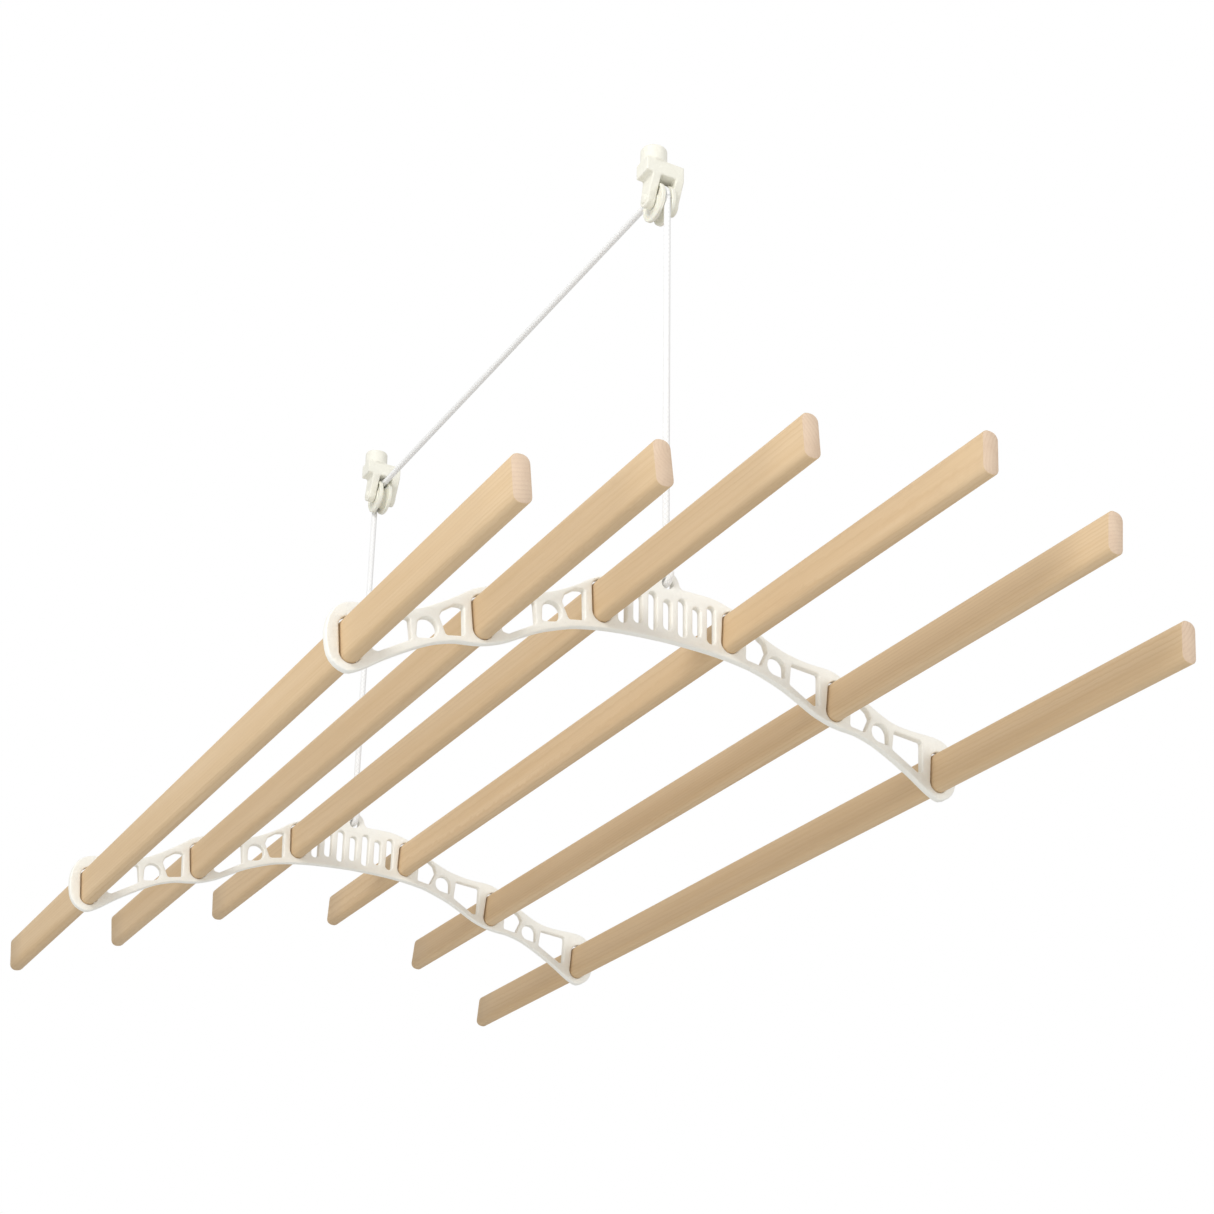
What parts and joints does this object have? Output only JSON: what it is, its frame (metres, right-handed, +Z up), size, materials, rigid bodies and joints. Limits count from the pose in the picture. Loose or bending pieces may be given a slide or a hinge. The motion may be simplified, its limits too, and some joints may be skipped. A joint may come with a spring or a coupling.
{
  "type": "ceiling pulley clothes airer",
  "caption": "Clothes-drying rack of wooden laths in two cast iron fretwork ends, hung by a cord over ceiling pulleys so that it can be raised and lowered.",
  "frame": {"origin": "centre of the near pulley's top face, in the ceiling plane", "axes": "+Z up, +X along the laths towards the near pulley's end, +Y across the rack"},
  "size_m": [1.276, 0.568, 0.567],
  "materials": {
    "rack_casting": "cream painted casting, satin",
    "pulley_casting": "cream painted casting, satin",
    "lath_wood": "planed pine, bare",
    "pin_steel": "steel rivet, painted over with the frame",
    "wheel": "moulded nylon, matt",
    "cord_braid": "braided cotton cord"
  },
  "bodies": {
    "ceiling_fixings": {"pulley_frame_near": "pulley_casting", "pulley_frame_far": "pulley_casting", "pulley_pin_near": "pin_steel", "pulley_pin_far": "pin_steel", "cord_span": "cord_braid", "cord_leg_near": "cord_braid", "cord_leg_far": "cord_braid"},
    "rack": {"rack_near": "rack_casting", "rack_far": "rack_casting", "lath_1": "lath_wood", "lath_2": "lath_wood", "lath_3": "lath_wood", "lath_4": "lath_wood", "lath_5": "lath_wood", "lath_6": "lath_wood", "cord_knot_near": "cord_braid", "cord_knot_far": "cord_braid"},
    "wheel_near": {"pulley_wheel_near": "wheel"},
    "wheel_far": {"pulley_wheel_far": "wheel"}
  },
  "joints": [
    {"name": "rack_lift", "type": "slide", "parent": "ceiling_fixings", "child": "rack", "axis": [0, 0, 1], "range_m": [-0.9, 0.32], "deforming": ["cord_leg_near", "cord_leg_far"]},
    {"name": "wheel_near_turn", "type": "hinge", "parent": "ceiling_fixings", "child": "wheel_near", "pos_m": [-0.007, 0.01, -0.0485], "axis": [0, 1, 0], "range_deg": [-1330, 3703]},
    {"name": "wheel_far_turn", "type": "hinge", "parent": "ceiling_fixings", "child": "wheel_far", "pos_m": [-0.635, 0.01, -0.0485], "axis": [0, 1, 0], "range_deg": [-3703, 1330]}
  ],
  "couplings": [
    {"joint": "wheel_near_turn", "follows": "rack_lift", "rad_per_m": -71.429},
    {"joint": "wheel_far_turn", "follows": "rack_lift", "rad_per_m": 71.429}
  ]
}
